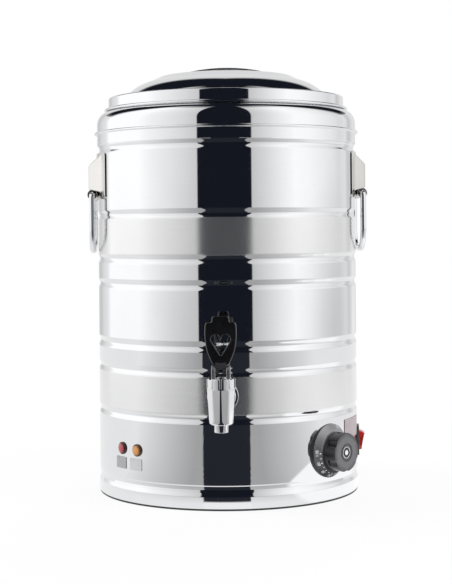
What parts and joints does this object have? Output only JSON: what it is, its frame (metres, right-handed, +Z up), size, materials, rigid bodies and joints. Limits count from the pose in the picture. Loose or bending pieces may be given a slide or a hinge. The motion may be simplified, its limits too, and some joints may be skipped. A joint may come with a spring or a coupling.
{
  "type": "hot water urn",
  "caption": "Insulated stainless hot water urn with a grooved round body, stepped lift-off lid, hanging ring handles, lever tap, and a thermostat dial, lamps and rocker switch near its base.",
  "frame": {"origin": "on the body's axis at the floor plane", "axes": "+Z up, the tap towards -Y, the dial and switch towards +X"},
  "size_m": [0.3602, 0.3986, 0.538],
  "materials": {
    "polished_steel": "mirror polished",
    "plain_steel": "satin",
    "chrome": "chrome plated",
    "zinc_steel": "zinc plated",
    "cast_aluminium": "as cast",
    "element_steel": "heat tinted",
    "copper": "drawn",
    "brass": "turned",
    "black_plastic": "moulded",
    "grey_plastic": "moulded, semi-gloss",
    "lever_plastic": "moulded, glossy",
    "red_plastic": "moulded, glossy",
    "amber_plastic": "moulded, clear",
    "ivory_plastic": "moulded",
    "label_foil": "plain foil",
    "black_rubber": "moulded",
    "pale_rubber": "silicone",
    "wool": "mineral wool",
    "wire_sleeve": "insulated wire"
  },
  "bodies": {
    "body": {"foot_ring": "black_rubber", "base_ring": "polished_steel", "outer_shell": "polished_steel", "rim_collar": "polished_steel", "inner_pot": "plain_steel", "insulation": "wool", "bottom_cover": "plain_steel", "bottom_screws": "zinc_steel", "heat_plate": "cast_aluminium", "heating_element": "element_steel", "element_clamp": "plain_steel", "stud_nuts": "zinc_steel", "heat_shield": "plain_steel", "thermostat_body": "black_plastic", "thermostat_screws": "zinc_steel", "thermostat_bulb": "copper", "bulb_clip": "zinc_steel", "capillary": "copper", "thermal_cutout": "black_plastic", "cutout_screws": "zinc_steel", "terminal_block": "ivory_plastic", "terminal_screws": "brass", "earth_stud": "brass", "supply_wires": "wire_sleeve", "control_wires": "wire_sleeve", "thermostat_bezel": "black_plastic", "lamp_housings": "black_plastic", "red_lens": "red_plastic", "amber_lens": "amber_plastic", "lamp_nuts": "black_plastic", "lamp_labels": "label_foil", "blank_plate": "label_foil", "switch_frame": "black_plastic", "power_inlet": "black_plastic", "inlet_pins": "brass", "inlet_screws": "zinc_steel", "tap_gasket": "black_rubber", "tap_flange": "chrome", "tap_body": "chrome", "tap_bonnet": "chrome", "tap_spring": "zinc_steel", "lever_pin": "chrome", "pot_gasket": "black_rubber", "tap_nut": "zinc_steel", "left_bracket": "polished_steel", "right_bracket": "polished_steel"},
    "lever": {"tap_lever": "lever_plastic"},
    "stem": {"tap_stem": "zinc_steel", "tap_seal": "black_rubber"},
    "knob": {"thermostat_knob": "grey_plastic", "knob_cap": "chrome"},
    "rocker": {"rocker": "red_plastic"},
    "left_ring": {"left_ring": "polished_steel"},
    "right_ring": {"right_ring": "polished_steel"},
    "lid": {"lid_shell": "polished_steel", "lid_liner": "plain_steel", "lid_insulation": "wool", "lid_gasket": "pale_rubber", "lid_handle": "polished_steel", "handle_rivets": "plain_steel"}
  },
  "joints": [
    {"name": "lid_lift", "type": "slide", "parent": "body", "child": "lid", "axis": [0, 0, 1], "range_m": [0, 0.12]},
    {"name": "lever_tilt", "type": "hinge", "parent": "body", "child": "lever", "pos_m": [0, -0.213, 0.1692], "axis": [1, 0, 0], "range_deg": [0, 80]},
    {"name": "stem_lift", "type": "slide", "parent": "body", "child": "stem", "axis": [0, 0, 1], "range_m": [0, 0.0045], "deforming": ["tap_spring"]},
    {"name": "knob_turn", "type": "hinge", "parent": "body", "child": "knob", "pos_m": [0.14172, -0.11892, 0.062], "axis": [-0.766, 0.6428, 0], "range_deg": [0, 270]},
    {"name": "rocker_tip", "type": "hinge", "parent": "body", "child": "rocker", "pos_m": [0.16527, -0.00866, 0.061], "axis": [-0.0523, -0.9986, 0], "range_deg": [0, 22]},
    {"name": "right_ring_swing", "type": "hinge", "parent": "body", "child": "right_ring", "pos_m": [0.1705, 0.01492, 0.376], "axis": [0.0872, -0.9962, 0], "range_deg": [0, 90]},
    {"name": "left_ring_swing", "type": "hinge", "parent": "body", "child": "left_ring", "pos_m": [-0.1705, -0.01492, 0.376], "axis": [-0.0872, 0.9962, 0], "range_deg": [0, 90]}
  ],
  "couplings": [
    {"joint": "stem_lift", "follows": "lever_tilt", "m_per_rad": 0.003223}
  ]
}
